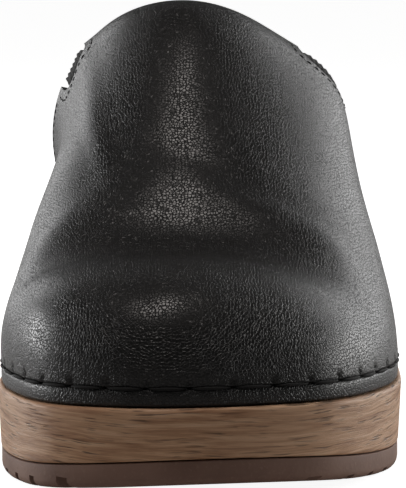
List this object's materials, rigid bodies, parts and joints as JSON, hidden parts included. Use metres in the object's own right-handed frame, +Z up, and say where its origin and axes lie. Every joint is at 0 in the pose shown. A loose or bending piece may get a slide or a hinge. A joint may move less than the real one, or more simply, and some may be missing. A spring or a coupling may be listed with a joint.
{
  "type": "wooden clog",
  "caption": "Open-backed clog: leather vamp with elastic side gores, hand-sewn to a leather rand on a contoured wooden platform sole with rubber treads.",
  "frame": {"origin": "on the ground under the middle of the clog's bounding box", "axes": "+Z up, toe towards -Y, heel towards +Y, +X the outer (lateral) side of the left foot"},
  "size_m": [0.1029, 0.2559, 0.1123],
  "materials": {
    "wood": "clear satin varnish over brown-stained wood with horizontal grain",
    "rubber": "matte brown outsole rubber",
    "upper_leather": "black full-grain leather, fine pebble, semi-matte",
    "fibreboard": "pressed fibreboard",
    "foam": "soft open-cell foam",
    "sock_leather": "smooth dark sock leather",
    "lining_leather": "undyed pigskin-like lining",
    "stiffener": "heat-formed stiffener sheet",
    "tape": "woven reinforcing tape",
    "elastic": "black ribbed elastic webbing",
    "thread": "black waxed thread"
  },
  "bodies": {
    "root": {"wood_sole": "wood", "forepart_tread": "rubber", "heel_tread": "rubber", "insole_board": "fibreboard", "rand": "upper_leather", "footbed_foam": "foam", "sock_liner": "sock_leather", "vamp": "upper_leather", "vamp_lining": "lining_leather", "toe_puff": "stiffener", "topline_tape": "tape", "medial_gore": "elastic", "lateral_gore": "elastic", "welt_thread": "thread", "medial_gore_thread": "thread", "lateral_gore_thread": "thread", "medial_wing_thread": "thread", "lateral_wing_thread": "thread"}
  },
  "joints": []
}
